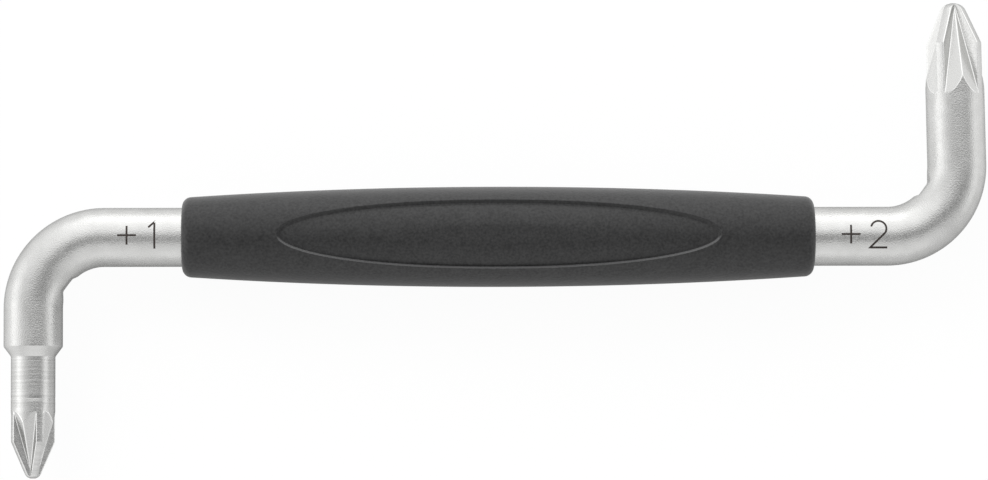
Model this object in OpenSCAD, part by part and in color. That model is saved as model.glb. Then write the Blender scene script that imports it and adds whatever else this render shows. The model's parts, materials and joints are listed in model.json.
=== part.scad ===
// Double-ended offset screwdriver, lying on its side.
// One steel bar is bent to a Z, with a cross-recess tip on each leg, and a
// plastic handle is moulded round its middle.
// X runs along the handle, +Y towards the size 2 tip and +Z up. The origin is on
// the table, under the bar's axis and midway between the two legs.

/* [Bar] */
// Diameter of the steel bar
bar_d = 6; // [5:0.1:8]
// Radius of both bends, at the middle of the bar
bend_r = 7.2; // [6:0.1:12]
// Angle of the size 1 bend, in degrees
bend_1_angle = 90; // [86:0.5:94]
// Angle of the size 2 bend, in degrees
bend_2_angle = 91; // [86:0.5:94]
// Straight bar between the handle and the size 1 bend
shank_1_len = 7.9; // [4:0.05:20]
// Straight bar between the handle and the size 2 bend
shank_2_len = 7.5; // [4:0.05:20]

/* [Size 1 leg] */
// Straight leg between the bend and the shoulder
leg_1_len = 3.9; // [2:0.1:15]
// Length of the shoulder that tapers from the bar to the neck
shoulder_1_len = 1; // [0.5:0.05:3]
// Diameter of the neck
neck_1_d = 4.5; // [4:0.1:5]
// Length of the neck, from the shoulder to the end of the tip
neck_1_len = 12.35; // [8:0.05:20]
// Length of the cone on the tip
cone_1_len = 3.7; // [2.5:0.05:4.5]
// Diameter of the cone at the end of the tip
end_1_d = 1.2; // [1:0.05:2]
// Rounding at the end of the tip
nose_1_r = 0.7; // [0.2:0.05:0.9]
// Thickness of the four wings
wing_1_t = 0.8; // [0.6:0.05:1]
// Turn of the wings about the leg, in degrees
tip_1_angle = 67; // [0:1:90]

/* [Size 2 leg] */
// Straight leg between the bend and the end of the tip
leg_2_len = 16.5; // [13:0.1:30]
// Length of the cone on the tip
cone_2_len = 4.2; // [3:0.05:5]
// Diameter of the cone at the end of the tip
end_2_d = 1.9; // [1.7:0.05:2.6]
// Rounding at the end of the tip
nose_2_r = 1.3; // [0.2:0.05:1.4]
// Thickness of the four wings
wing_2_t = 0.9; // [0.7:0.05:1.3]
// Turn of the wings about the leg, in degrees
tip_2_angle = 55; // [0:1:90]

/* [Both tips] */
// Angle at which the ribs rise from the end of the tip to the neck, in degrees
flute_slope = 18; // [16:0.5:21]
// Lean of the rib flanks between the wings, in degrees
rib_lean = 12; // [8:0.5:18]

/* [Handle] */
// Length of the handle
handle_len = 64.2; // [50:0.1:100]
// Plastic over the bar in the middle of the handle
handle_wall = 2.1; // [1.6:0.05:4]
// Plastic over the bar at the ends of the handle
handle_end_wall = 1.03; // [0.8:0.01:1.5]
// Rounding of the handle's end edges
handle_edge_r = 0.95; // [0.4:0.05:1.2]
// Distance from each end of the handle to the oval recess
recess_margin = 8.9; // [6:0.1:20]
// Width of the oval recess on the front and back
recess_w = 7.15; // [4:0.05:8]
// Depth of the oval recess
recess_depth = 0.4; // [0.2:0.05:0.6]
// Depth of the flat in the middle of the recess, below its curved floor
flat_depth = 0.1; // [0.05:0.01:0.2]

/* [Hold of the handle on the bar] */
// Distance from each end of the handle to the middle of the ears
ear_inset = 13; // [8:0.5:20]
// Length of the ears that are squeezed out of the bar
ear_len = 7; // [5:0.1:10]
// Height of the ears over the bar
ear_h = 0.7; // [0.4:0.05:0.8]
// Thickness of the ears
ear_t = 2.4; // [1.5:0.1:3]
// Depth of the die marks above and below the ears
notch_depth = 0.4; // [0.2:0.05:0.6]
// Radius of the die marks
notch_r = 6; // [4:0.1:10]
// Gap between the moulded plastic and the steel
mould_gap = 0.04; // [0.02:0.01:0.1]

/* [Hidden] */
$fn = 96;
// Steps along the barrel's long arc, odd so that the middle one is level
barrel_steps = 15;
// Run past a face, so that a cut goes right through it
overrun = 1;

// The press swells each bend a hair over the bar, which runs on into it
bend_swell = 0.01;
bend_lap = 0.3;
// The press leaves a kinked flat on the inside of each bend, on the leg's side.
// Its outline is in shares of the inner bend radius, from the bend's centre.
inner_r = bend_r - bar_d / 2;
press_shares = [[0.97, 0], [1.02, -0.42], [0.78, -0.727], [0.6, -0.77], [0.4, -0.4]];

straight_len = shank_1_len + handle_len + shank_2_len;
handle_x = -straight_len / 2 + shank_1_len + handle_len / 2;

// The shoulder of the size 1 leg, in its outline from the end of the bend
neck_1_z = leg_1_len + shoulder_1_len;
shoulder_1 = [[bar_d / 2, leg_1_len], [neck_1_d / 2, neck_1_z]];

// The flutes are cut wider and longer than the bar, so that they always run out
flute_w = bar_d;
flute_len = bar_d / sin(flute_slope);

// Barrel shape of the handle: an arc through the middle and both end diameters
handle_r = bar_d / 2 + handle_wall;
handle_bow = handle_wall - handle_end_wall;
barrel_r = (pow(handle_bow, 2) + pow(handle_len / 2, 2)) / (2 * handle_bow);
barrel_x = handle_r - barrel_r;
edge_r = min(handle_edge_r, handle_end_wall);
edge_z = handle_len / 2 - edge_r;
edge_x = barrel_x + sqrt(pow(barrel_r - edge_r, 2) - pow(edge_z, 2));
barrel_half_len = edge_z * barrel_r / (barrel_r - edge_r);
recess_len = handle_len - 2 * recess_margin;

// Radius of the barrel at a place along it, at a depth below its surface
function barrel_at(z, depth) = barrel_x + sqrt(pow(barrel_r - depth, 2) - pow(z, 2));

// The tool lies on the flat in the lower recess, or on the barrel past its ends
flat_z = handle_r - recess_depth - flat_depth;
axis_z = max(flat_z, barrel_at(recess_len / 2, 0));

// Half the outline of a leg from its bend to the domed end of its tip. The step
// holds the points of the shoulder down to the neck, where the leg has one.
module leg_outline(reach, step, neck_d, cone_len, end_d, nose_r) {
    cone_angle = atan((neck_d - end_d) / 2 / cone_len);
    nose_z = reach - nose_r;
    nose_x = neck_d / 2 - (cone_len - nose_r) * tan(cone_angle) - nose_r / cos(cone_angle);
    polygon(concat(
        [[0, -bend_lap], [bar_d / 2, -bend_lap]],
        step,
        [
            [neck_d / 2, reach - cone_len],
            [nose_x + nose_r * cos(cone_angle), nose_z + nose_r * sin(cone_angle)],
            [nose_x, nose_z],
            [nose_x, reach],
            [0, reach]
        ]
    ));
    intersection() {
        translate([nose_x, nose_z])
            circle(nose_r);
        square([bar_d, reach + overrun]);
    }
}

// All that is under one leaning flank of a rib, which rises from the tip's end
module rib_side(wing_t) {
    translate([0, wing_t / 2, 0])
        rotate([0, flute_slope, 0])
            translate([0, 0, -flute_w])
                linear_extrude(flute_len + 2 * flute_w)
                    polygon([
                        [overrun * tan(rib_lean), -overrun],
                        [-flute_w * tan(rib_lean), flute_w],
                        [-2 * flute_w, flute_w],
                        [-2 * flute_w, -overrun]
                    ]);
}

// A flute between two wings, less the rib that stands in it
module flute(wing_t) {
    difference() {
        translate([wing_t / 2, wing_t / 2, -overrun])
            cube([flute_w, flute_w, flute_len + overrun]);
        intersection() {
            rib_side(wing_t);
            mirror([1, -1, 0])
                rib_side(wing_t);
        }
    }
}

// A leg along +Z from the end of its bend, turned round and fluted at its end
module leg(reach, step, neck_d, cone_len, end_d, nose_r, wing_t, tip_angle) {
    difference() {
        rotate_extrude()
            leg_outline(reach, step, neck_d, cone_len, end_d, nose_r);
        translate([0, 0, reach])
            mirror([0, 0, 1])
                for (turn = [0 : 90 : 270])
                    rotate([0, 0, tip_angle + turn])
                        flute(wing_t);
    }
}

// A bend round zero, from the bar's axis, towards +X, to the leg's
module bend(bend_angle) {
    difference() {
        rotate([0, 0, -90])
            rotate_extrude(angle = bend_angle)
                translate([bend_r, 0])
                    circle(d = bar_d + 2 * bend_swell);
        rotate([0, 0, bend_angle - 90])
            linear_extrude(bar_d, center = true)
                polygon(press_shares * inner_r);
    }
}

// The end of the bar from its straight part on, with the leg as its child
module crank(bend_angle) {
    translate([straight_len / 2, bend_r, 0]) {
        bend(bend_angle);
        rotate([0, 0, bend_angle - 90])
            translate([bend_r, 0, 0])
                rotate([-90, 0, 0])
                    children();
    }
}

// Where the ears are, under both ends of the handle
module ear_places() {
    for (side = [-1, 1])
        translate([handle_x + side * (handle_len / 2 - ear_inset), 0, 0])
            children();
}

// An oval, along X
module oval(len, width) {
    scale([len / 2, width / 2])
        circle(1);
}

// The bar's straight part with the ears, grown by a gap on all sides
module straight_bar(len, gap) {
    difference() {
        rotate([0, 90, 0])
            cylinder(d = bar_d + 2 * gap, h = len, center = true);
        ear_places()
            for (side = [-1, 1])
                translate([0, 0, side * (bar_d / 2 - notch_depth + notch_r)])
                    rotate([90, 0, 0])
                        cylinder(r = notch_r - gap, h = bar_d + 2 * overrun, center = true);
    }
    ear_places()
        linear_extrude(ear_t + 2 * gap, center = true)
            oval(ear_len + 2 * gap, bar_d + 2 * ear_h + 2 * gap);
}

// Half the outline of a barrel, at a depth below the handle's surface
module barrel_outline(half_len, depth) {
    polygon([
        [0, -half_len],
        for (i = [0 : barrel_steps])
            let (z = half_len * (2 * i / barrel_steps - 1))
                [barrel_at(z, depth), z],
        [0, half_len]
    ]);
}

// Half the outline of the handle, with round end edges
module handle_outline() {
    barrel_outline(barrel_half_len, 0);
    translate([0, -handle_len / 2])
        square([edge_x, handle_len]);
    for (side = [-1, 1])
        translate([edge_x, side * edge_z])
            circle(edge_r);
}

// The floor of the recess, which follows the barrel at the recess's depth and is
// flat in its middle
module recess_floor() {
    intersection() {
        rotate([0, 90, 0])
            rotate_extrude()
                barrel_outline(handle_len / 2, recess_depth);
        cube([handle_len + overrun, 2 * handle_r, 2 * flat_z], center = true);
    }
}

// The oval that bounds the recess, right through the handle
module recess_oval() {
    linear_extrude(2 * (handle_r + overrun), center = true)
        oval(recess_len, recess_w);
}

module blade() {
    color("silver")
        translate([0, 0, axis_z]) {
            straight_bar(straight_len + 2 * bend_lap, 0);
            rotate([0, 0, 180])
                crank(bend_1_angle)
                    leg(neck_1_z + neck_1_len, shoulder_1, neck_1_d, cone_1_len, end_1_d,
                        nose_1_r, wing_1_t, tip_1_angle);
            crank(bend_2_angle)
                leg(leg_2_len, [], bar_d, cone_2_len, end_2_d,
                    nose_2_r, wing_2_t, tip_2_angle);
        }
}

module handle() {
    color("#303032")
        translate([0, 0, axis_z])
            difference() {
                translate([handle_x, 0, 0])
                    difference() {
                        rotate([0, 90, 0])
                            rotate_extrude()
                                handle_outline();
                        difference() {
                            recess_oval();
                            recess_floor();
                        }
                    }
                straight_bar(straight_len, mould_gap);
            }
}

blade();
handle();
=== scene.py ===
"""Looks of the offset screwdriver: a satin chrome blade in a matte moulded handle.

Sizes are in millimetres, as in the part's source, and become metres in the meshes.
The frame is the part's own: X along the handle, Y along the legs, Z up from the table.
"""
import json
import math

import bmesh
import bpy
import numpy as np
from mathutils import Matrix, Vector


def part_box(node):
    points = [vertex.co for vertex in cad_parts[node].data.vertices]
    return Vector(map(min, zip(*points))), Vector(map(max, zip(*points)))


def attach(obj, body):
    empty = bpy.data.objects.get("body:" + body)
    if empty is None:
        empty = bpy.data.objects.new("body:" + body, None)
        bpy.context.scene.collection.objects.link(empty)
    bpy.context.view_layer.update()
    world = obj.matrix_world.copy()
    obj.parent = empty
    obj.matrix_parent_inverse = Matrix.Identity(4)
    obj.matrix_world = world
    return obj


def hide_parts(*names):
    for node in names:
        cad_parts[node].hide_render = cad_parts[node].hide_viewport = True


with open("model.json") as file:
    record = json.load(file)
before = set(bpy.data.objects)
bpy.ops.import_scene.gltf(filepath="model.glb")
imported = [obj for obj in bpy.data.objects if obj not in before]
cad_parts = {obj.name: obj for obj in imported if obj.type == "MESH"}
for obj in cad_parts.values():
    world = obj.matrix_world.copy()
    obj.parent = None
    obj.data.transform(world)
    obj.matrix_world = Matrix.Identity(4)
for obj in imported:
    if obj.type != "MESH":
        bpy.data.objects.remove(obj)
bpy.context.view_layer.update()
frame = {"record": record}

MM = 0.001

# Sizes that the frame gives
MOUNTS = {mount["name"]: mount for mount in frame["record"]["mounts"]}
AXIS_Z = MOUNTS["grip"]["pos_m"][2] / MM
BAR_R = MOUNTS["leg_2"]["dims"]["r_mm"]
NECK_R = MOUNTS["leg_1"]["dims"]["r_mm"]
HANDLE_LOW, HANDLE_HIGH = (np.array(corner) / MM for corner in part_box("handle"))
HANDLE_X = (HANDLE_LOW[0] + HANDLE_HIGH[0]) / 2
HANDLE_HALF = (HANDLE_HIGH[0] - HANDLE_LOW[0]) / 2
FLAT_Z = AXIS_Z - HANDLE_LOW[2]

# Bends of the bar, and the flat that the press leaves on the inside of each: its corners in
# shares of the inner radius, how soft its edge is, and the degrees over which it blends
BEND_R = 7.2
PRESS_SHARES = ((0.97, 0), (1.02, 0.42), (0.78, 0.727), (0.6, 0.77), (0.4, 0.4))
PRESS_SOFT = 0.07
PRESS_BLEND = 1.5
PRESS_SAMPLES = 7

# Tips: the cone, its end, the wings and the ribs between them
TIPS = {
    1: {
        "cone_len": 3.7, "end_r": 0.6, "nose_r": 0.7, "wing_half": 0.4,
        "turn": 23, "neck_r": NECK_R, "rib_start": 0.15, "run_out": 6.8,
    },
    2: {
        "cone_len": 4.2, "end_r": 0.95, "nose_r": 1.3, "wing_half": 0.45,
        "turn": 55, "neck_r": BAR_R, "rib_start": 0.38, "run_out": 9.35,
    },
}
RIB_LEAN = 0.21
EDGE_SOFT = 0.085
# The size 2 tip ends a hair short, so that it stays inside the part's box
TIP_INSET = 0.003

# The size 1 leg: its neck, the shoulder over it and a fine turned line round it
NECK_LEN = 12.35
SHOULDER_LEN = 1
LINE_AT = 8.1
LINE_W = 0.05
LINE_DEPTH = 0.03

# The ears that are squeezed out of the bar inside the handle
EAR_INSET = 13
EAR_HALF = 3.5
EAR_REACH = 3.7
EAR_HALF_T = 1.2
NOTCH_R = 6
NOTCH_DEPTH = 0.4
MOULD_GAP = 0.04

# The handle's barrel, its end edges and the oval recesses on its front and back,
# whose middle lies a hair over the axis and whose floors are flat where they would
# reach past the handle's box
BARREL_R = 5.1
BARREL_END_R = 4.03
HANDLE_EDGE_R = 0.95
RECESS_HALF_LEN = 22.5
RECESS_HALF_W = 3.5
RECESS_Y = 0.06
RECESS_POWER = 2.12
RECESS_DEPTH = 0.4
RECESS_SOFT = 0.06
# The recess's wall at its upper and its lower rim, as places inwards and depths
UPPER_WALL = ((-1, 0), (0, 0), (0.36, 0.4), (1.2, 0.4))
LOWER_WALL = ((-1, 0), (0, 0), (0.22, 0.4), (1.2, 0.4))
WALL_STEPS = 22
FLAT_SOFT = 0.05
BORE_EDGE_R = 0.12

# Samples round a section: in each of its eight parts, four stretches with soft ends
STRETCH_INNER = 3
STRETCH_POINTS = STRETCH_INNER + 5
OCTANT_POINTS = 4 * STRETCH_POINTS
RING_POINTS = 8 * OCTANT_POINTS
# Points of an arc in the sharp outline, and samples over which a corner is softened
ARC_POINTS = 12
SOFT_SAMPLES = 11
# The most of a stretch that a soft end takes, and how far samples are spread at least
SOFT_SHARE = 0.3
LEAST_GAP = 0.002
# Small values that keep lengths and shares above zero
LEAST_STEP = 1e-9
LEAST_SHARE = 1e-6

# Rings along a leg: steps and reaches in millimetres, and how many there are in a reach
NOSE_REACH = 0.5
NOSE_RINGS = 17
TIP_START = 0.58
TIP_STEP = 0.135
CONE_RINGS = (-0.05, -0.025, 0.025, 0.05)
RUN_OUT_GAP = 0.01
LEG_STEP = 0.75
LINE_REACH = 0.12
LINE_RINGS = 9
CORNER_REACH = 0.06
CORNER_RINGS = 5
# Past the flutes, the points round a ring even out over this length
EVEN_LEN = 1.5
# Rings in a bend, along the straight bar, over an ear, and over the ends
BEND_RINGS = 54
BAR_RINGS = 21
EAR_RINGS = 23
CAP_SHARES = (0.75, 0.45, 0.2)

# Finishes of the blade, and the painted highlight on its tips' edges, and where they start and
# fade
FINISH_AND_HIGHLIGHT_SHARES = ("milled", "turned", "rubbed")
MILLED_DEPTH = 0.06
TURNED_FADE = 0.3
HIGHLIGHT_START = 0.3


# Helpers for lines and meshes

def along(points):
    """Length along a polyline at each of its points, never standing still."""
    steps = np.hypot(*np.diff(points, axis=0).T)
    return np.concatenate([[0], np.cumsum(np.maximum(steps, LEAST_STEP))])


def soften(points, places, reach):
    """Points at the given places along a polyline, with its corners rounded over a reach."""
    length = along(points)
    spots = places[:, None] + np.linspace(-reach, reach, SOFT_SAMPLES)[None, :]
    mean = [np.interp(spots, length, points[:, k]).mean(axis=1) for k in (0, 1)]
    return np.stack(mean, axis=1)


def blend_step(value):
    """Smooth step from 0 to 1."""
    value = np.clip(value, 0, 1)
    return value * value * (3 - 2 * value)


def new_object(name, points, faces):
    """A smooth mesh object from points in millimetres."""
    mesh = bpy.data.meshes.new(name)
    mesh.from_pydata([tuple(point) for point in np.asarray(points) * MM], [], faces)
    mesh.validate()
    mesh.update()
    mesh.shade_smooth()
    piece = bpy.data.objects.new(name, mesh)
    bpy.context.scene.collection.objects.link(piece)
    return piece


def ring_faces(first, second, count):
    """Quads between two closed rings of vertices, by the index of their first vertices."""
    return [
        (first + i, first + (i + 1) % count, second + (i + 1) % count, second + i)
        for i in range(count)
    ]


# The blade's sections

def octant_outline(radius, wing_half, rise):
    """Sharp outline from the middle of a wing to the middle of a flute.

    Returns the outline's points and the lengths at which its four stretches end:
    the wing's land, its flank, the rib's flank and the round of the neck.
    """
    edge = math.asin(min(math.sqrt(0.5), wing_half / radius))
    edge_u = radius * math.cos(edge)
    wing_half = radius * math.sin(edge)
    apex = np.array([min(max(rise, wing_half), edge_u), wing_half])
    line = rise + wing_half * RIB_LEAN
    crest = max(line / (1 + RIB_LEAN), wing_half)
    if rise >= edge_u:
        knee = apex
    elif crest * math.sqrt(2) <= radius:
        knee = np.array([crest, crest])
    else:
        square = 1 + RIB_LEAN ** 2
        root = math.sqrt(RIB_LEAN ** 2 * line ** 2 - square * (line ** 2 - radius ** 2))
        knee_v = (RIB_LEAN * line + root) / square
        knee = np.array([line - RIB_LEAN * knee_v, knee_v])
    knee_r = math.hypot(*knee)
    land = np.linspace(0, edge, ARC_POINTS)
    neck = np.linspace(math.atan2(knee[1], knee[0]), math.pi / 4, ARC_POINTS)
    points = np.concatenate([
        radius * np.stack([np.cos(land), np.sin(land)], axis=1),
        [apex],
        knee_r * np.stack([np.cos(neck), np.sin(neck)], axis=1),
    ])
    length = along(points)
    return points, [*length[ARC_POINTS - 1:ARC_POINTS + 2], length[-1]]


def octant_places(ends):
    """Places along an octant's outline, closer together at the corners."""
    places = []
    start = 0
    for end in ends:
        soft = min(EDGE_SOFT, SOFT_SHARE * (end - start))
        inner = np.linspace(start + soft, end - soft, STRETCH_INNER + 2)
        places += [start, start + soft / 2, *inner, end - soft / 2]
        start = end
    places = np.array(places) + np.arange(len(places)) * LEAST_GAP
    return places * ends[-1] / (places[-1] + LEAST_GAP)


def tip_ring(radius, wing_half, rise):
    """Angles and radii of a tip's section, from the middle of its first wing."""
    points, ends = octant_outline(radius, wing_half, rise)
    total = ends[-1]
    before = points[::-1] * (1, -1)
    after = points[::-1, ::-1]
    whole = np.concatenate([before[:-1], points, after[1:]])
    half = np.concatenate([octant_places(ends), [total]])
    soft = soften(whole, half + total, EDGE_SOFT)
    angle = np.arctan2(soft[:, 1], soft[:, 0])
    size = np.hypot(soft[:, 0], soft[:, 1])
    quarter_angle = np.concatenate([angle[:-1], math.pi / 2 - angle[:0:-1]])
    quarter_size = np.concatenate([size[:-1], size[:0:-1]])
    angles = np.concatenate([quarter_angle + k * math.pi / 2 for k in range(4)])
    return angles, np.tile(quarter_size, 4)


def nose_radius(places, tip):
    """Radius of the turned tip at places from its end: rounded end, cone and neck."""
    slope = (tip["neck_r"] - tip["end_r"]) / tip["cone_len"]
    lean = math.atan(slope)
    nose_r = tip["nose_r"]
    flat = tip["end_r"] + nose_r * slope - nose_r / math.cos(lean)
    cone = np.minimum(tip["neck_r"], tip["end_r"] + slope * places)
    inside = np.clip(nose_r - places, 0, nose_r)
    nose = flat + np.sqrt(nose_r ** 2 - inside ** 2)
    return np.where(places < nose_r * (1 - math.sin(lean)), nose, cone)


def leg_radius(places, size):
    """Radius of a leg before its flutes, with softened steps, at places from its end."""
    reach = np.linspace(-EDGE_SOFT, EDGE_SOFT, SOFT_SAMPLES)
    spots = np.maximum(places[:, None] + reach[None, :], 0)
    radius = nose_radius(spots, TIPS[size])
    if size == 1:
        step = np.clip((spots - NECK_LEN) / SHOULDER_LEN, 0, 1)
        radius = radius + step * (BAR_R - NECK_R)
        radius = radius - LINE_DEPTH * np.exp(-((spots - LINE_AT) / LINE_W) ** 2)
    return radius.mean(axis=1)


def bar_radius(x, angles, gap):
    """Radii of the straight bar with its ears at a place along it, grown by a gap."""
    radius = np.full(len(angles), BAR_R)
    across = np.maximum(np.abs(np.sin(angles)), LEAST_SHARE)
    up = np.maximum(np.abs(np.cos(angles)), LEAST_SHARE)
    for side in (-1, 1):
        off = abs(x - HANDLE_X - side * (HANDLE_HALF - EAR_INSET))
        if off < EAR_HALF:
            top = BAR_R - NOTCH_DEPTH + NOTCH_R - math.sqrt(NOTCH_R ** 2 - off ** 2)
            reach = EAR_REACH * math.sqrt(1 - (off / EAR_HALF) ** 2)
            ear = np.minimum(reach / across, EAR_HALF_T / up)
            radius = np.maximum(np.minimum(radius, top / up), ear)
    return radius + gap


def press_radius(turn):
    """Reach of the press's flat from the bend's centre, by the angle from the leg."""
    ray = np.array([math.cos(turn), math.sin(turn)])
    inner = BEND_R - BAR_R
    for start, end in zip(PRESS_SHARES, PRESS_SHARES[1:]):
        start, end = np.array(start), np.array(end)
        if math.atan2(start[1], start[0]) <= turn <= math.atan2(end[1], end[0]):
            span = end - start
            cross = start[0] * span[1] - start[1] * span[0]
            return inner * cross / (ray[0] * span[1] - ray[1] * span[0])
    return 0


# The blade, swept from the size 1 tip to the size 2 tip

UNIFORM = np.arange(RING_POINTS) * 2 * math.pi / RING_POINTS


def rubbed_ring():
    """Shares of painted highlight round a tip's section: 1 on the edges and in the corners of
    the flutes.
    """
    share = np.zeros(OCTANT_POINTS + 1)
    for stretch in (1, 2, 3):
        corner = stretch * STRETCH_POINTS
        share[corner - 1:corner + 2] = 1
    return np.tile(np.concatenate([share[:-1], share[:0:-1]]), 4)


class Sweep:
    """Collects the rings of the blade, and the share of each finish and of the painted edge
    highlight on their points.
    """

    def __init__(self):
        self.rings = []
        self.shares = {name: [] for name in FINISH_AND_HIGHLIGHT_SHARES}

    def add(self, points, **shares):
        self.rings.append(points)
        for name, kept in self.shares.items():
            kept.append(np.broadcast_to(shares.get(name, 0), len(points)))


def leg_places(size, length):
    """Places of a leg's rings from the end of its tip to its bend."""
    tip = TIPS[size]
    run_out = tip["run_out"]
    nose = NOSE_REACH * (1 - np.cos(np.linspace(0, math.pi / 2, NOSE_RINGS)))
    places = [*nose, *np.arange(TIP_START, run_out - 2 * RUN_OUT_GAP, TIP_STEP)]
    places += [run_out - RUN_OUT_GAP]
    places += [*(tip["cone_len"] + np.array(CONE_RINGS))]
    places += [*np.arange(run_out + 4 * RUN_OUT_GAP, length, LEG_STEP), length]
    if size == 1:
        places += [*(LINE_AT + np.linspace(-LINE_REACH, LINE_REACH, LINE_RINGS))]
        for corner in (NECK_LEN, NECK_LEN + SHOULDER_LEN):
            places += [*(corner + np.linspace(-CORNER_REACH, CORNER_REACH, CORNER_RINGS))]
    return np.array(sorted(set(np.round(places, 4))))


def leg_rings(size, length):
    """Places, angles, radii and milled shares of a leg's rings, from its tip's end."""
    tip = TIPS[size]
    run_out = tip["run_out"]
    places = leg_places(size, length)
    radii = leg_radius(places, size)
    full = math.sqrt(tip["neck_r"] ** 2 - tip["wing_half"] ** 2)
    rings = []
    for place, radius in zip(places, radii):
        cut = min(place, run_out - RUN_OUT_GAP) / run_out
        rise = tip["rib_start"] + cut * (full - tip["rib_start"])
        angles, sizes = tip_ring(radius, tip["wing_half"], rise)
        milled = blend_step((radius - sizes) / MILLED_DEPTH)
        if place > run_out:
            share = blend_step((place - run_out) / EVEN_LEN)
            angles = angles + share * (UNIFORM - angles)
            sizes = np.full(RING_POINTS, radius)
            milled = np.zeros(RING_POINTS)
        rings.append((place, angles, sizes, milled))
    return rings


def place_ring(centre, side, angles, sizes):
    """A ring round a centre: angles from +Z towards the side, in the plane of the two."""
    across = (sizes * np.sin(angles))[:, None] * np.append(side, 0)
    up = (sizes * np.cos(angles))[:, None] * np.array([0, 0, 1])
    return np.append(centre, AXIS_Z) + across + up


def bend_ring(centre, turn, outward, side_sign, angles):
    """A ring in a bend, with its inside pressed flat; turn is the angle from the leg."""
    reach = BEND_R + side_sign * BAR_R * np.sin(angles)
    turns = turn + np.radians(np.linspace(-PRESS_BLEND, PRESS_BLEND, PRESS_SAMPLES))
    flat = np.mean([press_radius(t) for t in turns])
    gap = np.clip((reach - flat) / PRESS_SOFT, -1, 1)
    reach = np.maximum(reach, flat) + PRESS_SOFT / 4 * (1 - np.abs(gap)) ** 2
    up = BAR_R * np.cos(angles)
    flat_points = np.append(centre, AXIS_Z) + reach[:, None] * np.append(outward, 0)
    return flat_points + up[:, None] * np.array([0, 0, 1])


def sweep_blade():
    """All rings of the blade, from the end of the size 1 tip to that of size 2."""
    sweep = Sweep()
    straight = 2 * (-MOUNTS["leg_1"]["pos_m"][0] / MM - BEND_R)
    first, last = math.radians(TIPS[1]["turn"]), math.radians(TIPS[2]["turn"])
    axis = MOUNTS["leg_2"]["axis"]
    lean = {1: 0, 2: math.atan2(-axis[0], axis[1])}
    ends = {size: np.array(MOUNTS[f"tip_{size}"]["pos_m"][:2]) / MM for size in TIPS}
    ends[2] = ends[2] - np.array([0, TIP_INSET])
    legs = {}
    for size, sign in ((1, -1), (2, 1)):
        centre = sign * np.array([straight / 2, BEND_R])
        along_leg = sign * np.array([-math.sin(lean[size]), math.cos(lean[size])])
        out = sign * np.array([math.cos(lean[size]), math.sin(lean[size])])
        root = centre + out * BEND_R
        legs[size] = (centre, along_leg, out, float(np.dot(ends[size] - root, along_leg)))

    def add_leg(size, start):
        _, along_leg, _, length = legs[size]
        side = np.array([math.cos(lean[size]), math.sin(lean[size])])
        highlight_shares = rubbed_ring()
        rings = leg_rings(size, length)
        if size == 2:
            rings = rings[::-1]
        for place, angles, sizes, milled in rings:
            spot = ends[size] - along_leg * place
            turned = 1 - blend_step((place - NECK_LEN) / TURNED_FADE) if size == 1 else 0
            # Painted highlight: the tips' edges and flute corners get a lighter colour, from a
            # little past the end to the run-out
            rubbed = highlight_shares * (place < TIPS[size]["run_out"]) * blend_step(place - HIGHLIGHT_START)
            ring = place_ring(spot, side, angles + start, sizes)
            sweep.add(ring, milled=milled, turned=turned, rubbed=rubbed)

    def add_bend(size, start):
        centre, along_leg, out, _ = legs[size]
        whole = math.pi / 2 + lean[size]
        turns = np.linspace(0, whole, BEND_RINGS + 1)[1:]
        sign = 1 if size == 2 else -1
        if size == 2:
            turns = turns[::-1]
        for turn in turns:
            outward = math.cos(turn) * out - math.sin(turn) * along_leg
            sweep.add(bend_ring(centre, turn, outward, sign, UNIFORM + start))

    add_leg(1, first)
    add_bend(1, first)
    ears = [HANDLE_X + side * (HANDLE_HALF - EAR_INSET) for side in (-1, 1)]
    spots = [*np.linspace(-straight / 2, straight / 2, BAR_RINGS)[1:-1]]
    for ear in ears:
        spots += [*(ear + np.linspace(-EAR_HALF, EAR_HALF, EAR_RINGS))]
    spots = sorted(set(np.round(spots, 4)))
    for x in spots:
        share = blend_step((x - HANDLE_X) / HANDLE_HALF / 2 + 0.5)
        angles = UNIFORM + first + share * (last - first)
        sweep.add(place_ring((x, 0), (0, -1), angles, bar_radius(x, angles, 0)))
    add_bend(2, last)
    add_leg(2, last)
    return sweep


def make_blade():
    """The blade as one closed mesh, with the share of each finish and of the painted edge
    highlight on its vertices.
    """
    sweep = sweep_blade()
    rings = sweep.rings
    caps = []
    for ring in (rings[0], rings[-1]):
        middle = ring.mean(axis=0)
        caps.append([middle + (ring - middle) * scale for scale in CAP_SHARES])
    rings = [*caps[0][::-1], *rings, *caps[1]]
    points = np.concatenate([*rings, [rings[0].mean(axis=0), rings[-1].mean(axis=0)]])
    faces = []
    for k in range(len(rings) - 1):
        faces += ring_faces(k * RING_POINTS, (k + 1) * RING_POINTS, RING_POINTS)
    start, end = len(points) - 2, len(points) - 1
    tail = (len(rings) - 1) * RING_POINTS
    for i in range(RING_POINTS):
        j = (i + 1) % RING_POINTS
        faces.append((start, j, i))
        faces.append((end, tail + i, tail + j))
    piece = new_object("blade_satin", points, faces)
    cap = np.zeros(len(CAP_SHARES) * RING_POINTS)
    for name, shares in sweep.shares.items():
        share = piece.data.attributes.new(name, "FLOAT", "POINT")
        values = np.concatenate([cap, *shares, cap, [0, 0]])
        share.data.foreach_set("value", values.astype(np.float32))
    return piece


# The handle

BARREL_BOW = BARREL_R - BARREL_END_R
BARREL_ARC = (BARREL_BOW ** 2 + HANDLE_HALF ** 2) / (2 * BARREL_BOW)
EDGE_X = HANDLE_HALF - HANDLE_EDGE_R
EDGE_R = BARREL_R - BARREL_ARC + math.sqrt((BARREL_ARC - HANDLE_EDGE_R) ** 2 - EDGE_X ** 2)
BARREL_HALF = EDGE_X * BARREL_ARC / (BARREL_ARC - HANDLE_EDGE_R)
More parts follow.
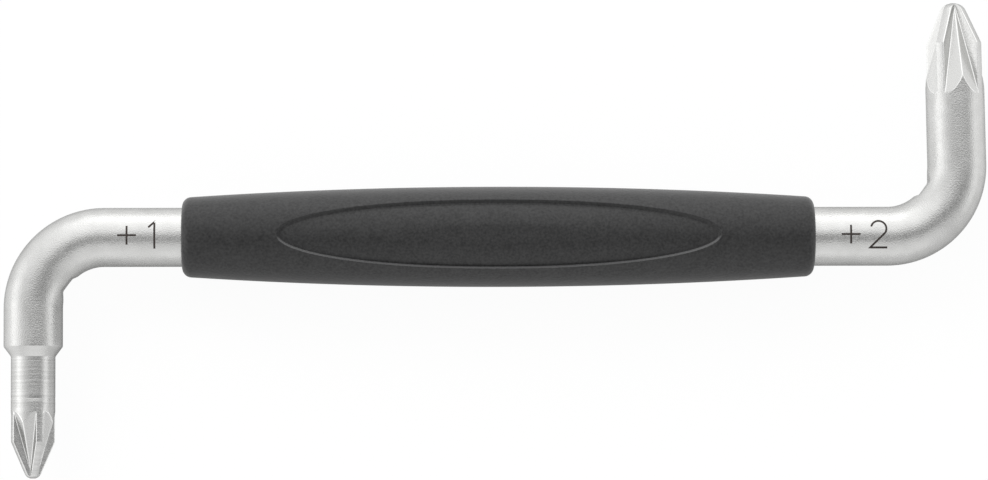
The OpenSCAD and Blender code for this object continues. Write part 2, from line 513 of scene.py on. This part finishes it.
# Steps along and across the border of half a shell, and where the recess's oval has corners
LONG_STEPS = 130
SHORT_STEPS = 56
BORDER_POINTS = 2 * (LONG_STEPS + SHORT_STEPS)
CORNER_TURN = math.radians(38)
# Shares of the recess's inner oval at which its floor has rings
FLOOR_SHARES = (*np.linspace(0.04, 0.4, 9), *np.linspace(0.45, 0.95, 9), 0.98)
# The rim's direction, up or down, past which its wall is all upper or all lower wall
WALL_TURN = 0.8
# Rings from the recess to the border, closer together near the recess
SIDE_RINGS = 18
SIDE_SPREAD = 1.5
# The lower wall of each recess, lighter in a painted highlight where the light from above
# catches it: how its share fades in depth and across, and where it ends
LIT_WALL_FADE = 0.06
LIT_WALL_SIDE = 0.6
LIT_WALL_PAST = 0.5
# Rings along the bore, over each ear's pocket, and their distance from the ends
BORE_RINGS = 41
POCKET_RINGS = 31
BORE_MARGIN = 0.5
# Rings over the edge of an end, and over the bore's edge
EDGE_RINGS = 9
BORE_EDGE_RINGS = 5
WELD_DIST = 1e-7


def barrel_radius(x):
    """Radius of the barrel at a place from the handle's middle."""
    return BARREL_R - BARREL_ARC + np.sqrt(BARREL_ARC ** 2 - x ** 2)


def oval_loop():
    """Angles round the recess's oval, and the matching places on the shell's border.

    The border is the handle's half from one end edge to the other, as places along
    the handle and angles from its crown to the seams at its sides.
    """
    short = np.linspace(-1, 1, SHORT_STEPS + 1)[:-1]
    long = np.linspace(-1, 1, LONG_STEPS + 1)[:-1]
    half = math.pi / 2
    turns = np.concatenate([
        CORNER_TURN * short,
        half + (half - CORNER_TURN) * long,
        math.pi + CORNER_TURN * short,
        3 * half + (half - CORNER_TURN) * long,
    ])
    end, side = np.full(SHORT_STEPS, BARREL_HALF), np.full(LONG_STEPS, half)
    border_x = np.concatenate([end, -BARREL_HALF * long, -end, BARREL_HALF * long])
    border_turn = np.concatenate([half * short, side, -half * short, -side])
    return turns, border_x, border_turn


def shell_rings():
    """Rings of one half of the shell, from the recess's middle to the border.

    Each ring holds places along the handle, across it and up from its axis.
    """
    turns, border_x, border_turn = oval_loop()
    half = np.array([RECESS_HALF_LEN, RECESS_HALF_W])
    circle = np.stack([np.cos(turns), np.sin(turns)], axis=1)
    share = np.abs(circle) ** (2 / RECESS_POWER)
    oval = np.sign(circle) * share * half + np.array([0, RECESS_Y])
    normal = np.sign(circle) * share ** (RECESS_POWER - 1) / half
    normal /= np.hypot(*normal.T)[:, None]
    upper, lower = wall_profile(UPPER_WALL), wall_profile(LOWER_WALL)
    low = blend_step((WALL_TURN - normal[:, 1]) / (2 * WALL_TURN))[:, None]
    walls = [(1 - low) * first + low * second for first, second in zip(upper, lower)]
    rings = []
    inner = oval - normal * walls[-1][:, :1]
    for share in FLOOR_SHARES:
        rings.append(lift(inner * share, RECESS_DEPTH))
    for wall in walls[::-1]:
        rings.append(lift(oval - normal * wall[:, :1], wall[:, 1]))
    outer = oval - normal * walls[0][:, :1]
    start_turn = np.arcsin(outer[:, 1] / barrel_radius(outer[:, 0]))
    for step in np.linspace(0, 1, SIDE_RINGS + 1)[1:]:
        share = step ** SIDE_SPREAD
        x = outer[:, 0] + share * (border_x - outer[:, 0])
        turn = start_turn + share * (border_turn - start_turn)
        rings.append(round_ring(x, barrel_radius(x), turn))
    return rings


def round_ring(x, radius, turn):
    """Points round the handle's axis at a place along it, turned from the crown."""
    x = np.broadcast_to(x, turn.shape)
    return np.stack([x, radius * np.sin(turn), radius * np.cos(turn)], axis=1)


def wall_profile(corners):
    """Places inwards and depths from the rim of a recess to its floor, softened."""
    corners = np.array(corners, float)
    length = along(corners)
    reach = 2 * RECESS_SOFT
    places = np.linspace(length[1] - reach, length[-2] + reach, WALL_STEPS)
    return soften(corners, places, RECESS_SOFT)


def lift(plan, depth):
    """Points over a plan at a depth under the barrel, with a flat on the recess's floor."""
    radius = barrel_radius(plan[:, 0]) - depth
    height = np.sqrt(radius ** 2 - plan[:, 1] ** 2)
    over = height - FLAT_Z
    height = height - depth / RECESS_DEPTH * (over + np.hypot(over, FLAT_SOFT)) / 2
    return np.stack([plan[:, 0], plan[:, 1], height], axis=1)


def make_handle():
    """The handle as one closed mesh: two half shells, both ends and the bore."""
    rings = shell_rings()
    count = len(rings[0])
    points = []
    faces = []
    borders = []

    def add_ring(previous, ring, sign):
        current = list(range(len(points), len(points) + len(ring)))
        points.extend(ring)
        faces.extend(loop_faces(previous, current, sign))
        return current

    for flip in (1, -1):
        base = len(points)
        for ring in rings:
            points.extend(ring * (1, 1, flip))
        for k in range(len(rings) - 1):
            for quad in ring_faces(base + k * count, base + (k + 1) * count, count):
                faces.append(quad if flip > 0 else quad[::-1])
        points.append(rings[0].mean(axis=0) * (1, 1, flip))
        for i in range(count):
            fan = (len(points) - 1, base + i, base + (i + 1) % count)
            faces.append(fan if flip > 0 else fan[::-1])
        borders.append(base + (len(rings) - 1) * count)
    right = end_loop(*borders, 0)
    left = end_loop(*borders, SHORT_STEPS + LONG_STEPS)
    bore = {}
    for sign, loop in ((1, right), (-1, left)):
        border = np.array([points[index] for index in loop])
        turn = np.arctan2(border[:, 1], border[:, 2])
        previous = loop
        for x, radius in end_profile():
            previous = add_ring(previous, round_ring(sign * x, radius, turn), sign)
        bore[sign] = (previous, turn)
    previous, turn = bore[1]
    for x in bore_places()[::-1]:
        radius = bar_radius(x + HANDLE_X, turn, MOULD_GAP)
        previous = add_ring(previous, round_ring(x, radius, turn), 1)
    left_loop = match_loop(previous, bore[-1][0], points)
    faces.extend(loop_faces(previous, left_loop, 1))
    points = np.array(points) + np.array([HANDLE_X, 0, AXIS_Z])
    piece = new_object("handle_moulded", points, faces)
    weld(piece)
    paint_lit_lower_wall(piece)
    return piece


def paint_lit_lower_wall(piece):
    """Marks the lower wall of each recess, painted lighter as a highlight where the light from
    above catches it.
    """
    places = np.empty(3 * len(piece.data.vertices), np.float32)
    piece.data.vertices.foreach_get("co", places)
    places = places.reshape(-1, 3) / MM - np.array([HANDLE_X, 0, AXIS_Z])
    reach = RECESS_HALF_LEN + LIT_WALL_PAST
    inside = np.clip(places[:, 0], -reach, reach)
    depth = barrel_radius(inside) - np.hypot(places[:, 1], places[:, 2])
    share = blend_step(depth / LIT_WALL_FADE) * blend_step((RECESS_DEPTH - depth) / LIT_WALL_FADE)
    share = share * blend_step(-places[:, 1] / LIT_WALL_SIDE) * (inside == places[:, 0])
    painted_lit_wall = piece.data.attributes.new("painted_lit_wall", "FLOAT", "POINT")
    painted_lit_wall.data.foreach_set("value", share.astype(np.float32))


def end_loop(top, bottom, start):
    """Vertices round one end of the shell: over the top half and back under it."""
    steps = [(start + i) % BORDER_POINTS for i in range(SHORT_STEPS + 1)]
    return [top + step for step in steps] + [bottom + step for step in steps[-2:0:-1]]


def end_profile():
    """Places and radii over an end edge, down the end face and into the bore."""
    start = math.atan2(barrel_radius(BARREL_HALF) - EDGE_R, BARREL_HALF - EDGE_X)
    bore_r = BAR_R + MOULD_GAP
    profile = []
    for turn in np.linspace(start, 0, EDGE_RINGS + 1)[1:]:
        profile.append((
            EDGE_X + HANDLE_EDGE_R * math.cos(turn),
            EDGE_R + HANDLE_EDGE_R * math.sin(turn),
        ))
    for turn in np.linspace(0, math.pi / 2, BORE_EDGE_RINGS):
        profile.append((
            HANDLE_HALF - BORE_EDGE_R * (1 - math.cos(turn)),
            bore_r + BORE_EDGE_R * (1 - math.sin(turn)),
        ))
    return profile


def bore_places():
    """Places of the bore's rings from the handle's middle."""
    end = HANDLE_HALF - BORE_MARGIN
    places = [*np.linspace(-end, end, BORE_RINGS)]
    pocket = np.linspace(-EAR_HALF, EAR_HALF, POCKET_RINGS)
    for side in (-1, 1):
        places += [*(side * (HANDLE_HALF - EAR_INSET) + pocket)]
    return sorted(set(np.round(places, 4)))


def loop_faces(first, second, sign):
    """Quads between two closed loops of vertex indices."""
    count = len(first)
    quads = [
        (first[i], second[i], second[(i + 1) % count], first[(i + 1) % count])
        for i in range(count)
    ]
    return quads if sign > 0 else [quad[::-1] for quad in quads]


def match_loop(loop, other, points):
    """The other loop's vertices in the order of the nearest ones of the first loop."""
    spots = np.array([points[index] for index in other])
    order = []
    for index in loop:
        away = np.hypot(spots[:, 1] - points[index][1], spots[:, 2] - points[index][2])
        order.append(other[int(np.argmin(away))])
    return order


def weld(piece):
    """Joins the vertices that two halves share."""
    shape = bmesh.new()
    shape.from_mesh(piece.data)
    bmesh.ops.remove_doubles(shape, verts=shape.verts, dist=WELD_DIST)
    bmesh.ops.recalc_face_normals(shape, faces=shape.faces)
    shape.to_mesh(piece.data)
    shape.free()
    piece.data.shade_smooth()


# The size marks on the bar

# Width of a stroke, how far it stands proud and reaches in, its height and its places
MARK_W = 0.2
MARK_PROUD = 0.004
MARK_SUNK = 0.02
MARK_TOP = 1.4
MARK_LOW = -1.3
MARK_PLACES = {1: (-37.4, -34.6), 2: (35.9, 38.7)}
# The cross's arms, the flag of the 1, and the 2: its bow's radius, the degrees from start
# to end and the points between, and its foot to both sides
CROSS_ARM = 0.95
FLAG = (0.62, 0.55)
BOW_R = 0.78
BOW_TURNS = (165, -35, 22)
FOOT = (0.86, 0.88)
# Spacing of the points along a stroke, and the least cosine that a mitre divides by
MARK_STEP = 0.1
MITRE_LEAST = 0.45


def mark_strokes(size):
    """Strokes of a plain cross and a number, as lines over the bar."""
    cross, number = MARK_PLACES[size]
    middle = (MARK_TOP + MARK_LOW) / 2
    strokes = [[(cross, middle - CROSS_ARM), (cross, middle + CROSS_ARM)]]
    for side in (-1, 1):
        strokes.append([(cross + side * MARK_W / 2, middle), (cross + side * CROSS_ARM, middle)])
    if size == 1:
        flag = (number - FLAG[0], MARK_TOP - FLAG[1])
        strokes.append([flag, (number, MARK_TOP), (number, MARK_LOW)])
    else:
        bow = [
            (number + BOW_R * math.cos(turn), MARK_TOP - BOW_R * (1 - math.sin(turn)))
            for turn in np.radians(np.linspace(*BOW_TURNS))
        ]
        strokes.append([*bow, (number - FOOT[0], MARK_LOW), (number + FOOT[1], MARK_LOW)])
    return strokes


def stroke_sides(line):
    """Points on both sides of a stroke, mitred at its corners and closely spaced."""
    line = np.array(line, float)
    spots = [line[0]]
    for start, end in zip(line, line[1:]):
        steps = max(1, int(math.hypot(*(end - start)) / MARK_STEP))
        spots += [start + (end - start) * k / steps for k in range(1, steps + 1)]
    spots = np.array(spots)
    runs = np.diff(spots, axis=0)
    runs /= np.hypot(*runs.T)[:, None]
    before = np.concatenate([runs[:1], runs])
    after = np.concatenate([runs, runs[-1:]])
    mitre = np.stack([-(before + after)[:, 1], (before + after)[:, 0]], axis=1)
    mitre /= np.hypot(*mitre.T)[:, None]
    square = np.stack([-before[:, 1], before[:, 0]], axis=1)
    reach = MARK_W / 2 / np.maximum((mitre * square).sum(axis=1), MITRE_LEAST)
    return spots + mitre * reach[:, None], spots - mitre * reach[:, None]


def make_mark(size):
    """The mark of one size, as closed strips that lie in the bar's surface."""
    points, faces = [], []
    for line in mark_strokes(size):
        left, right = stroke_sides(line)
        count = len(left)
        base = len(points)
        for lift_r in (BAR_R + MARK_PROUD, BAR_R - MARK_SUNK):
            for side in (left, right):
                height = np.sqrt(lift_r ** 2 - side[:, 1] ** 2)
                points.extend(np.column_stack([side, AXIS_Z + height]))
        upper_left, upper_right, lower_left, lower_right = (base + k * count for k in range(4))
        edges = (upper_left, upper_right, lower_right, lower_left)
        for first, second in zip(edges, edges[1:] + edges[:1]):
            for i in range(count - 1):
                faces.append((first + i, second + i, second + i + 1, first + i + 1))
        faces.append(edges[::-1])
        faces.append(tuple(edge + count - 1 for edge in edges))
    piece = new_object(f"size_mark_{size}", points, faces)
    piece.data.shade_flat()
    return piece


# Materials

def node_material(name):
    """A new material, its nodes and its shader."""
    material = bpy.data.materials.new(name)
    material.use_nodes = True
    return material, material.node_tree, material.node_tree.nodes["Principled BSDF"]


def add_noise(tree, scale, detail=3, stretch=None):
    """A noise over the object's own coordinates, scale in features per metre."""
    place = tree.nodes.new("ShaderNodeTexCoord")
    noise = tree.nodes.new("ShaderNodeTexNoise")
    noise.inputs["Scale"].default_value = scale
    noise.inputs["Detail"].default_value = detail
    if stretch:
        mapping = tree.nodes.new("ShaderNodeMapping")
        mapping.inputs["Scale"].default_value = stretch
        tree.links.new(place.outputs["Object"], mapping.inputs["Vector"])
        tree.links.new(mapping.outputs["Vector"], noise.inputs["Vector"])
    else:
        tree.links.new(place.outputs["Object"], noise.inputs["Vector"])
    return noise.outputs["Fac"]


def add_range(tree, value, low, high, from_low=0.3, from_high=0.7):
    """Maps a value to a range, from the range that a noise has or from another."""
    span = tree.nodes.new("ShaderNodeMapRange")
    span.inputs["From Min"].default_value = from_low
    span.inputs["From Max"].default_value = from_high
    span.inputs["To Min"].default_value = low
    span.inputs["To Max"].default_value = high
    tree.links.new(value, span.inputs["Value"])
    return span.outputs["Result"]


def add_mix(tree, share, first, second):
    """Mixes two colours by a share."""
    mix = tree.nodes.new("ShaderNodeMix")
    mix.data_type = "RGBA"
    tree.links.new(share, mix.inputs["Factor"])
    for value, socket in ((first, mix.inputs["A"]), (second, mix.inputs["B"])):
        if isinstance(value, tuple):
            socket.default_value = (*value, 1)
        else:
            tree.links.new(value, socket)
    return mix.outputs["Result"]


def add_bump(tree, height, distance, strength, under=None):
    """A bump of a height in metres."""
    bump = tree.nodes.new("ShaderNodeBump")
    bump.inputs["Distance"].default_value = distance
    if isinstance(strength, float):
        bump.inputs["Strength"].default_value = strength
    else:
        tree.links.new(strength, bump.inputs["Strength"])
    tree.links.new(height, bump.inputs["Height"])
    if under is not None:
        tree.links.new(under, bump.inputs["Normal"])
    return bump.outputs["Normal"]


def add_share(tree, name):
    """The share that a mesh attribute holds."""
    attribute = tree.nodes.new("ShaderNodeAttribute")
    attribute.attribute_name = name
    return attribute.outputs["Fac"]


def add_math(tree, operation, first, second):
    """Joins two values by an operation of the Math node."""
    math_node = tree.nodes.new("ShaderNodeMath")
    math_node.operation = operation
    tree.links.new(first, math_node.inputs[0])
    tree.links.new(second, math_node.inputs[1])
    return math_node.outputs[0]


def steel_material():
    """Satin chrome: blasted on the bar, turned on the neck, milled on the tips, with painted
    highlights along their edges and flute corners.
    """
    material, tree, shader = node_material("satin_chrome")
    shader.inputs["Metallic"].default_value = 1
    shader.inputs["Specular Tint"].default_value = (0.6, 0.6, 0.6, 1)
    milled, turned, rubbed = (add_share(tree, name) for name in FINISH_AND_HIGHLIGHT_SHARES)
    bare = add_math(tree, "MULTIPLY", turned, add_range(tree, milled, 1, 0, 0, 1))
    lines = add_noise(tree, 1, 4, (60, 5200, 60))

    # Colour: cloudy chrome, even where it is milled, streaked where turned, and lighter in
    # painted highlights along the tips' edges and flute corners
    cloud = add_noise(tree, 900, 4)
    tone = add_mix(tree, add_range(tree, cloud, 0, 1), (0.62, 0.62, 0.61), (0.68, 0.68, 0.67))
    tone = add_mix(tree, milled, tone, (0.66, 0.66, 0.65))
    streak = add_mix(tree, add_range(tree, lines, 0, 1), (0.59, 0.59, 0.58), (0.73, 0.73, 0.72))
    tone = add_mix(tree, bare, tone, streak)
    # Painted highlight: a light colour along the tips' edges and in the flute corners
    tone = add_mix(tree, rubbed, tone, (0.9, 0.9, 0.89))
    tree.links.new(tone, shader.inputs["Base Color"])

    # Roughness: specks, smoother on the milled faces
    speck = add_noise(tree, 3600, 4)
    smooth = tree.nodes.new("ShaderNodeMix")
    tree.links.new(milled, smooth.inputs["Factor"])
    tree.links.new(add_range(tree, speck, 0.2, 0.31), smooth.inputs["A"])
    tree.links.new(add_range(tree, speck, 0.14, 0.31), smooth.inputs["B"])
    tree.links.new(smooth.outputs["Result"], shader.inputs["Roughness"])

    # Bump: the turned lines, and over them the blasted grain, which is weaker on neck and flutes
    ridges = add_bump(tree, lines, 1.4e-5, bare)
    fine = add_math(tree, "MAXIMUM", turned, milled)
    rough = add_range(tree, fine, 0.9, 0.5, 0, 1)
    grain = add_bump(tree, add_noise(tree, 7500, 3), 3.2e-5, rough, ridges)
    tree.links.new(grain, shader.inputs["Normal"])
    return material


def plastic_material():
    """Matte black plastic with a fine moulded grain, and a painted highlight on the recess's
    lower rim.
    """
    material, tree, shader = node_material("moulded_black")
    speck = add_noise(tree, 3800, 2)
    tree.links.new(add_range(tree, speck, 0.32, 0.62), shader.inputs["Specular IOR Level"])
    shader.inputs["Sheen Weight"].default_value = 0.15
    shader.inputs["Sheen Roughness"].default_value = 0.5
    cloud = add_noise(tree, 700, 4)
    dark, light = (0.009, 0.009, 0.0093), (0.014, 0.014, 0.0143)
    tone = add_mix(tree, add_range(tree, cloud, 0, 1), dark, light)
    # Painted highlight: the recess's lower wall is lighter where the light from above catches it
    tone = add_mix(tree, add_share(tree, "painted_lit_wall"), tone, (0.075, 0.075, 0.076))
    tree.links.new(tone, shader.inputs["Base Color"])
    tree.links.new(add_range(tree, speck, 0.4, 0.52), shader.inputs["Roughness"])
    dimples = add_bump(tree, add_noise(tree, 1700, 3), 3.0e-5, 0.5)
    grain = add_bump(tree, add_noise(tree, 4000, 2), 3.0e-5, 0.7, dimples)
    tree.links.new(grain, shader.inputs["Normal"])
    return material


def mark_material():
    """Laser-burnt steel: dark and dull, lighter where the burn is thin."""
    material, tree, shader = node_material("burnt_mark")
    shader.inputs["Specular IOR Level"].default_value = 0.3
    burn = add_noise(tree, 6500, 3)
    tone = add_mix(tree, add_range(tree, burn, 0, 1), (0.012, 0.009, 0.008), (0.05, 0.04, 0.035))
    tree.links.new(tone, shader.inputs["Base Color"])
    tree.links.new(add_range(tree, burn, 0.45, 0.65), shader.inputs["Roughness"])
    tree.links.new(add_bump(tree, burn, 2.0e-5, 0.6), shader.inputs["Normal"])
    return material


# The stage: floor, light and camera

# The floor in metres, its colour, and how bright the kinds of ray see it
FLOOR_HALF = 1.5
FLOOR_COLOUR = (0.9, 0.9, 0.9, 1)
FLOOR_GLOW = {"Is Camera Ray": 0.95, "Is Glossy Ray": 0.5, "Is Transmission Ray": 0.95}
# What the metal sees of the floor is dimmer on the tool's shaded sides: places and levels
SHADE_Y = ((-0.01, 0.01), (0.4, 1))
SHADE_X = ((-0.048, -0.054), (0, 0.95))
# The camera's height in millimetres, the picture's frame and scale, and the bar's place in it
CAMERA_UP = 500
FRAME_PX = (988, 480)
PX_PER_MM = 9.829
BAR_PX = (496.2, 236.85)
SENSOR = 36
# The photograph was taken from a little to the left and below, and is turned a little: degrees
TILT_X = 1
TILT_Y = 3.4
ROLL = -0.15
# The sky's levels: panels from -Y to +Y with a gap near the top, which is tilted by some
# degrees, their shares from -X to +X, and the walls from -X to +X
SKY_LEVEL = 2
GAP_TILT = 11
SKY_PANELS = (
    (-1, 0.98), (-0.9, 1.04), (-0.75, 0.96), (-0.5, 0.88), (-0.28, 0.8), (-0.18, 0.66),
    (-0.06, 0.2), (0.08, 0.24), (0.2, 0.41), (0.3, 0.7), (0.38, 0.9), (0.54, 1.17), (0.7, 1.3),
    (0.83, 1.36), (0.93, 1.5), (1, 1.9),
)
SKY_SIDES = ((-1, 0.8), (-0.65, 0.84), (-0.3, 1), (0.6, 1), (0.9, 0.55), (1, 0.5))
SKY_WALLS = (
    (-1, 1.5), (-0.96, 1.66), (-0.88, 1.3), (-0.75, 0.98), (-0.6, 0.79), (-0.4, 0.6),
    (-0.2, 0.42), (0, 0.27), (0.6, 0.26), (0.72, 0.38), (0.86, 0.84), (0.95, 1.27), (1, 0.95),
)
# The key lamp: its place and size in metres, and its power in watts
KEY_PLACE = (-0.6, 0.8, 0.7)
KEY_SIZE = 0.6
KEY_POWER = 8.5


def make_floor():
    """A plain white floor that the camera sees bright, with a faint shadow."""
    corners = [(-1, -1), (1, -1), (1, 1), (-1, 1)]
    points = [(x * FLOOR_HALF / MM, y * FLOOR_HALF / MM, 0) for x, y in corners]
    floor = new_object("floor", points, [(0, 1, 2, 3)])
    material, tree, shader = node_material("white_floor")
    shader.inputs["Base Color"].default_value = FLOOR_COLOUR
    shader.inputs["Roughness"].default_value = 1
    shader.inputs["Specular IOR Level"].default_value = 0
    glow = tree.nodes.new("ShaderNodeEmission")
    path = tree.nodes.new("ShaderNodeLightPath")
    share = None
    for ray, level in FLOOR_GLOW.items():
        add = tree.nodes.new("ShaderNodeMath")
        add.operation = "MULTIPLY_ADD"
        add.use_clamp = True
        tree.links.new(path.outputs[ray], add.inputs[0])
        add.inputs[1].default_value = level
        add.inputs[2].default_value = 0
        if share:
            tree.links.new(share, add.inputs[2])
        share = add.outputs[0]
    mix = tree.nodes.new("ShaderNodeMixShader")
    tree.links.new(share, mix.inputs["Fac"])
    tree.links.new(shader.outputs["BSDF"], mix.inputs[1])
    tree.links.new(glow.outputs["Emission"], mix.inputs[2])
    spot = tree.nodes.new("ShaderNodeSeparateXYZ")
    place = tree.nodes.new("ShaderNodeTexCoord")
    tree.links.new(place.outputs["Object"], spot.inputs["Vector"])
    lit = add_math(
        tree, "MAXIMUM",
        add_range(tree, spot.outputs["Y"], *SHADE_Y[1], *SHADE_Y[0]),
        add_range(tree, spot.outputs["X"], *SHADE_X[1], *SHADE_X[0]),
    )
    shade = tree.nodes.new("ShaderNodeMix")
    shade.inputs["A"].default_value = 1
    tree.links.new(path.outputs["Is Glossy Ray"], shade.inputs["Factor"])
    tree.links.new(lit, shade.inputs["B"])
    tree.links.new(shade.outputs["Result"], glow.inputs["Strength"])
    tree.links.new(mix.outputs["Shader"], tree.nodes["Material Output"].inputs["Surface"])
    floor.data.materials.append(material)


def sky_ramp(tree, direction, aim, stops):
    """Levels of the sky by the share of its direction that points along an aim."""
    dot = tree.nodes.new("ShaderNodeVectorMath")
    dot.operation = "DOT_PRODUCT"
    dot.inputs[1].default_value = aim
    tree.links.new(direction, dot.inputs[0])
    place = add_range(tree, dot.outputs["Value"], 0, 1, -1, 1)
    ramp = tree.nodes.new("ShaderNodeValToRGB")
    ramp.color_ramp.interpolation = "LINEAR"
    elements = ramp.color_ramp.elements
    while len(elements) < len(stops):
        elements.new(0.5)
    for element, (share, level) in zip(elements, stops):
        element.position = (share + 1) / 2
        element.color = (level / SKY_LEVEL, level / SKY_LEVEL, level / SKY_LEVEL, 1)
    tree.links.new(place, ramp.inputs["Fac"])
    return ramp.outputs["Color"]


def blend_sky(tree, kind, first, second):
    """Two colours of the sky, joined by a kind of blend."""
    blend = tree.nodes.new("ShaderNodeMix")
    blend.data_type = "RGBA"
    blend.blend_type = kind
    blend.inputs["Factor"].default_value = 1
    tree.links.new(first, blend.inputs["A"])
    if isinstance(second, tuple):
        blend.inputs["B"].default_value = (*second, 1)
    else:
        tree.links.new(second, blend.inputs["B"])
    return blend.outputs["Result"]


def make_world():
    """A white room: panels to both sides of a darker gap overhead, and bright walls."""
    world = bpy.data.worlds.new("studio")
    bpy.context.scene.world = world
    world.use_nodes = True
    tree = world.node_tree
    direction = tree.nodes.new("ShaderNodeTexCoord").outputs["Generated"]
    tilt = math.radians(GAP_TILT)
    panels = sky_ramp(tree, direction, (0, math.cos(tilt), math.sin(tilt)), SKY_PANELS)
    sides = sky_ramp(tree, direction, (1, 0, 0), SKY_SIDES)
    walls = sky_ramp(tree, direction, (1, 0, 0), SKY_WALLS)
    panels = blend_sky(tree, "MULTIPLY", panels, sides)
    panels = blend_sky(tree, "MULTIPLY", panels, (SKY_LEVEL, SKY_LEVEL, SKY_LEVEL))
    total = blend_sky(tree, "LIGHTEN", panels, walls)
    tree.links.new(total, tree.nodes["Background"].inputs["Color"])
    tree.nodes["Background"].inputs["Strength"].default_value = SKY_LEVEL


def add_softbox(name, place, size, power):
    """A square area lamp that faces the tool and lights its dull faces and the floor."""
    light = bpy.data.lights.new(name, "AREA")
    light.shape = "SQUARE"
    light.size = size
    light.energy = power
    lamp = bpy.data.objects.new(name, light)
    lamp.location = place
    away = np.array(place) / np.linalg.norm(place)
    lamp.rotation_euler = (math.acos(away[2]), 0, math.atan2(away[1], away[0]) + math.pi / 2)
    lamp.visible_glossy = False
    bpy.context.scene.collection.objects.link(lamp)


def make_camera():
    """Almost straight over the tool, framed as the photograph."""
    camera = bpy.data.objects.new("camera", bpy.data.cameras.new("camera"))
    camera.data.sensor_width = SENSOR
    camera.data.lens = SENSOR * CAMERA_UP * PX_PER_MM / FRAME_PX[0]
    tilt_x, tilt_y, roll = (math.radians(turn) for turn in (TILT_X, TILT_Y, ROLL))
    back = np.array([
        -math.sin(tilt_x) * math.cos(tilt_y),
        -math.sin(tilt_y),
        math.cos(tilt_x) * math.cos(tilt_y),
    ])
    across = np.cross((0, 1, 0), back)
    across /= np.linalg.norm(across)
    up = np.cross(back, across)
    right = across * math.cos(roll) + up * math.sin(roll)
    up = up * math.cos(roll) - across * math.sin(roll)
    shift_x = (FRAME_PX[0] / 2 - BAR_PX[0]) / PX_PER_MM
    shift_y = (BAR_PX[1] - FRAME_PX[1] / 2) / PX_PER_MM
    place = np.array([0, 0, AXIS_Z]) + back * CAMERA_UP + right * shift_x + up * shift_y
    camera.location = place * MM
    camera.rotation_euler = Matrix(np.stack([right, up, back], axis=1)).to_euler()
    bpy.context.scene.collection.objects.link(camera)
    bpy.context.scene.camera = camera


make_camera()
make_floor()
make_world()
add_softbox("key", KEY_PLACE, KEY_SIZE, KEY_POWER)
bpy.context.scene.view_settings.view_transform = "Standard"

blade = make_blade()
blade.data.materials.append(steel_material())
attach(blade, "root")
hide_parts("blade")

handle = make_handle()
handle.data.materials.append(plastic_material())
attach(handle, "root")
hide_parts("handle")

burnt = mark_material()
for size in TIPS:
    mark = make_mark(size)
    mark.data.materials.append(burnt)
    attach(mark, "root")
